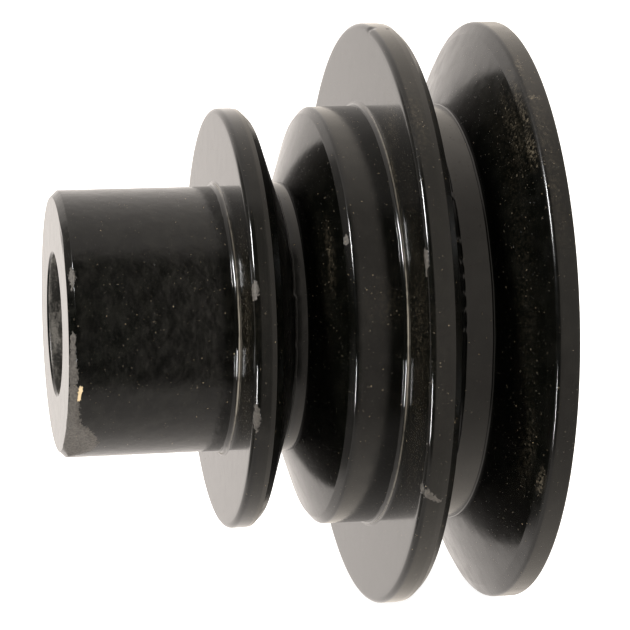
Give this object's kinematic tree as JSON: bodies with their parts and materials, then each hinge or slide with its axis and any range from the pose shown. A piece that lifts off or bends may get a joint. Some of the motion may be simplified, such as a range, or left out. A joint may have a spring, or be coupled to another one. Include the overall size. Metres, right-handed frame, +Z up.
{
  "type": "stepped v-belt pulley",
  "caption": "Stepped V-belt pulley with a long plain bored hub, a small belt groove and a larger belt groove behind it, in gloss black.",
  "frame": {"origin": "centre of the bore at the hub's front end face", "axes": "+X along the bore from the hub end towards the belt grooves and the back flange, +Z up in the pictured pose, -Y towards the pictured side"},
  "size_m": [0.084, 0.1064, 0.1064],
  "materials": {
    "black_paint": "gloss",
    "braze_paint": "gloss",
    "black_oxide": "satin"
  },
  "bodies": {
    "pulley": {"hub": "black_paint", "small_flange": "black_paint", "small_groove_ring": "black_paint", "step_drum": "black_paint", "large_front_flange": "black_paint", "large_groove_ring": "black_paint", "large_back_flange": "black_paint", "hub_braze_fillet": "braze_paint", "drum_braze_fillet": "braze_paint", "groove_braze_fillet": "braze_paint", "back_braze_fillet": "braze_paint"},
    "upper_screw": {"set_screw_upper": "black_oxide"},
    "lower_screw": {"set_screw_lower": "black_oxide"}
  },
  "joints": [
    {"name": "upper_screw_slide", "type": "slide", "parent": "pulley", "child": "upper_screw", "axis": [0, 0.7071, 0.7071], "range_m": [-0.0003, 0.003]},
    {"name": "lower_screw_slide", "type": "slide", "parent": "pulley", "child": "lower_screw", "axis": [0, 0.7071, -0.7071], "range_m": [-0.0003, 0.003]}
  ]
}
